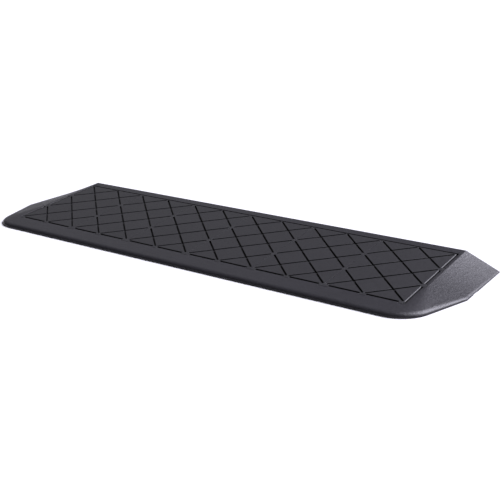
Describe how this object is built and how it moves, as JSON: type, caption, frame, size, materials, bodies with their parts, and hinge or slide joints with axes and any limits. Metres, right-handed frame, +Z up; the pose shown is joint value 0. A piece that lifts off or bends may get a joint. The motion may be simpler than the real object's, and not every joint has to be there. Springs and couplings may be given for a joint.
{
  "type": "portable wheelchair threshold ramp",
  "caption": "Low wedge ramp of moulded rubber with sloped side wings, a rounded front lip, and grooved diamond-pattern tread tiles screwed into a tray from below.",
  "frame": {"origin": "on the ground, in the middle of the ramp's length and depth", "axes": "+X along the ramp's length, +Y from the low front lip to the high back face, +Z up"},
  "size_m": [1.048, 0.298, 0.03],
  "materials": {
    "base_rubber": "matte charcoal moulded rubber, fine moulded grain",
    "tread_rubber": "matte charcoal grip rubber, slightly darker than the base",
    "pad_rubber": "soft black grip rubber",
    "screw_steel": "bright zinc-plated steel",
    "insert_brass": "plain turned brass"
  },
  "bodies": {
    "root": {"ramp_base": "base_rubber", "tread_tile_1": "tread_rubber", "tread_tile_2": "tread_rubber", "tread_tile_3": "tread_rubber", "tread_tile_4": "tread_rubber", "tread_tile_5": "tread_rubber", "tread_tile_6": "tread_rubber", "tile_insert_1": "insert_brass", "tile_insert_2": "insert_brass", "tile_insert_3": "insert_brass", "tile_insert_4": "insert_brass", "tile_insert_5": "insert_brass", "tile_insert_6": "insert_brass", "tile_insert_7": "insert_brass", "tile_insert_8": "insert_brass", "tile_insert_9": "insert_brass", "tile_insert_10": "insert_brass", "tile_insert_11": "insert_brass", "tile_insert_12": "insert_brass", "tile_washer_1": "screw_steel", "tile_washer_2": "screw_steel", "tile_washer_3": "screw_steel", "tile_washer_4": "screw_steel", "tile_washer_5": "screw_steel", "tile_washer_6": "screw_steel", "tile_washer_7": "screw_steel", "tile_washer_8": "screw_steel", "tile_washer_9": "screw_steel", "tile_washer_10": "screw_steel", "tile_washer_11": "screw_steel", "tile_washer_12": "screw_steel", "tile_screw_1": "screw_steel", "tile_screw_2": "screw_steel", "tile_screw_3": "screw_steel", "tile_screw_4": "screw_steel", "tile_screw_5": "screw_steel", "tile_screw_6": "screw_steel", "tile_screw_7": "screw_steel", "tile_screw_8": "screw_steel", "tile_screw_9": "screw_steel", "tile_screw_10": "screw_steel", "tile_screw_11": "screw_steel", "tile_screw_12": "screw_steel", "grip_pad_front_1": "pad_rubber", "grip_pad_front_2": "pad_rubber", "grip_pad_front_3": "pad_rubber", "grip_pad_front_4": "pad_rubber", "grip_pad_front_5": "pad_rubber", "grip_pad_back_1": "pad_rubber", "grip_pad_back_2": "pad_rubber", "grip_pad_back_3": "pad_rubber", "grip_pad_back_4": "pad_rubber", "grip_pad_back_5": "pad_rubber"}
  },
  "joints": []
}
